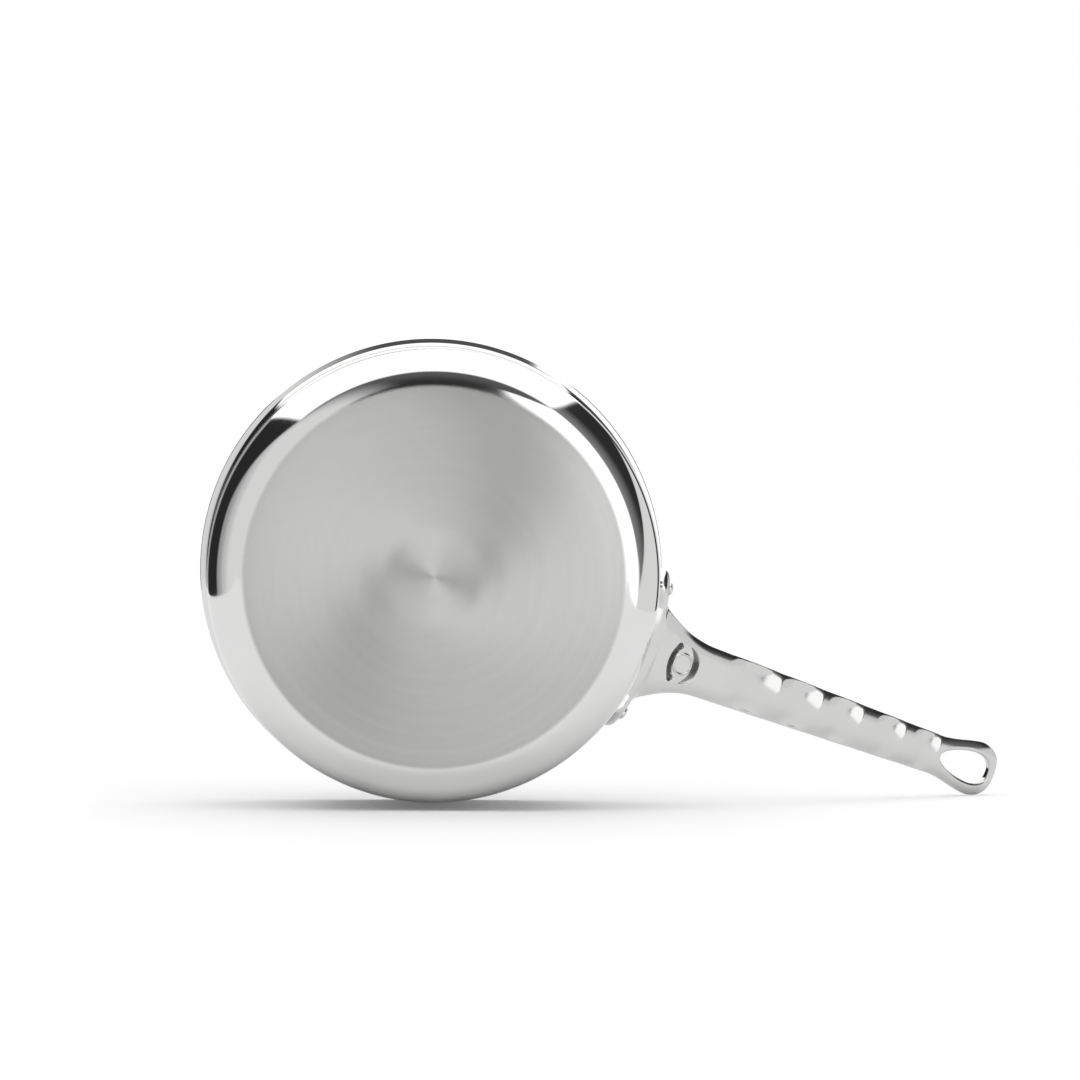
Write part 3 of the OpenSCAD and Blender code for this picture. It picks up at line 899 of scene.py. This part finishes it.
# the studio round the pan, by direction seen from the pan, in degrees. Turn goes round the
# line to the camera, 0 to the right and 90 up; tilt is the angle away from that line.
# Most edges are a place and how soft the edge is there
studio = {
    "walls": 0.81, "seam": (-91, -90),
    "left": {"from": (110, 2), "falls": ((40, 60, 0.18), (58, 80, 0.25))},
    "flag": {"light": 0.025, "turns": (125, 165), "tilt": 38, "slant": 50, "soft": 5,
             "lastTurn": (187, 1), "lastTilt": (145, 5)},
    "top": {"lights": (0.03, 0.11), "tilts": (8, 34), "side": 98.0, "slant": 0.6,
            "soft": (14, 20), "from": (0, 3), "lastTilt": (48, 4)},
    "right": {"lights": (0.22, 0.03), "tilts": (46, 84), "level": 61, "slant": 0.5, "soft": 1.5,
              "behind": (133, 3), "behindFrom": (-12, 1), "to": (50.5, 1), "span": (46, 148, 4)},
    "lamp": {"light": 1.4, "sides": (50.5, 132.0), "soft": 0.8, "front": (42.0, 3.5),
             "widen": 0.045, "widenFrom": 45, "rightShare": 0.1},
    "window": {"light": 1.4, "tilt": (43.0, 3), "soft": 0.012, "near": (0, 0.01),
               "edges": ((0.943, -0.335, -0.066), (0.69, -0.723, 0.102))},
}


# how bright the studio is in the direction of a ray; the camera itself sees plain white
def studioLight(board):
    where = board.node("ShaderNodeTexCoord", out="Generated")
    right, up, near = [
        board.node("ShaderNodeVectorMath", {"operation": "DOT_PRODUCT"},
                   {0: where, 1: way}, out="Value")
        for way in (rightWay, -downWay, -viewWay)]
    turn = up.maths("ARCTAN2", up, right) * (180 / math.pi)
    turn = turn + 360 * (1 - turn.rise(*studio["seam"]))
    tilt = near.maths("ARCCOSINE", near) * (180 / math.pi)

    # the left wall falls off towards the back, and ends at a dark flag with a slanted edge
    left, flag = studio["left"], studio["flag"]
    leftSide = turn.past(*left["from"])
    falls = sum(tilt.rise(low, high) * fall for low, high, fall in left["falls"])
    light = studio["walls"] - leftSide * falls
    flagEdge = turn.rise(*flag["turns"]) * flag["slant"] + flag["tilt"]
    inFlag = leftSide * tilt.past(flagEdge, flag["soft"])
    inFlag = inFlag * turn.before(*flag["lastTurn"]) * tilt.before(*flag["lastTilt"])
    light = light.covered(inFlag, flag["light"])

    # dark above the camera, open towards the left
    top = studio["top"]
    topSide = tilt * top["slant"] + top["side"]
    topDark = 1 - turn.rise(topSide - top["soft"][0], topSide + top["soft"][1])
    topDark = topDark * turn.past(*top["from"]) * tilt.before(*top["lastTilt"])
    light = light.covered(topDark, tilt.rise(*top["tilts"], *top["lights"]))

    # dark beside and behind on the right, with the right wall's slanted edge
    dark = studio["right"]
    rightEdge = (tilt - dark["level"]) * dark["slant"]
    behind = turn.past(*dark["behindFrom"]) * tilt.past(*dark["behind"])
    rightDark = turn.past(rightEdge, dark["soft"]).larger(behind)
    rightDark = rightDark * turn.before(*dark["to"]) * tilt.between(*dark["span"])
    light = light.covered(rightDark, tilt.rise(*dark["tilts"], *dark["lights"]))

    # the big lamp overhead
    lamp = studio["lamp"]
    widen = (tilt - lamp["widenFrom"]) * lamp["widen"]
    inLamp = (turn - widen * lamp["rightShare"]).past(lamp["sides"][0], lamp["soft"])
    inLamp = inLamp * (turn - widen).before(lamp["sides"][1], lamp["soft"])
    light = light.covered(inLamp * tilt.past(*lamp["front"]), lamp["light"])

    # the bright window beside the camera on the right, between two straight edges
    window = studio["window"]
    inWindow = tilt.before(*window["tilt"])
    for alongRight, alongUp, offset in window["edges"]:
        within = right / near * alongRight + up / near * alongUp + offset
        inWindow = inWindow * within.past(0, window["soft"])
    light = light.covered(inWindow * near.past(*window["near"]), window["light"])
    rays = board.node("ShaderNodeLightPath", out="Is Camera Ray")
    strength = rays + (1 - rays) * light
    return board.node("ShaderNodeBackground", None, {0: (1, 1, 1, 1), 1: strength})


world = bpy.data.worlds.new("studioWorld")
world.use_nodes = True
scene.world = world
board = Board(world.node_tree)
board.finish(studioLight(board), "ShaderNodeOutputWorld")
scene.view_settings.view_transform = "Standard"
print("studio made")
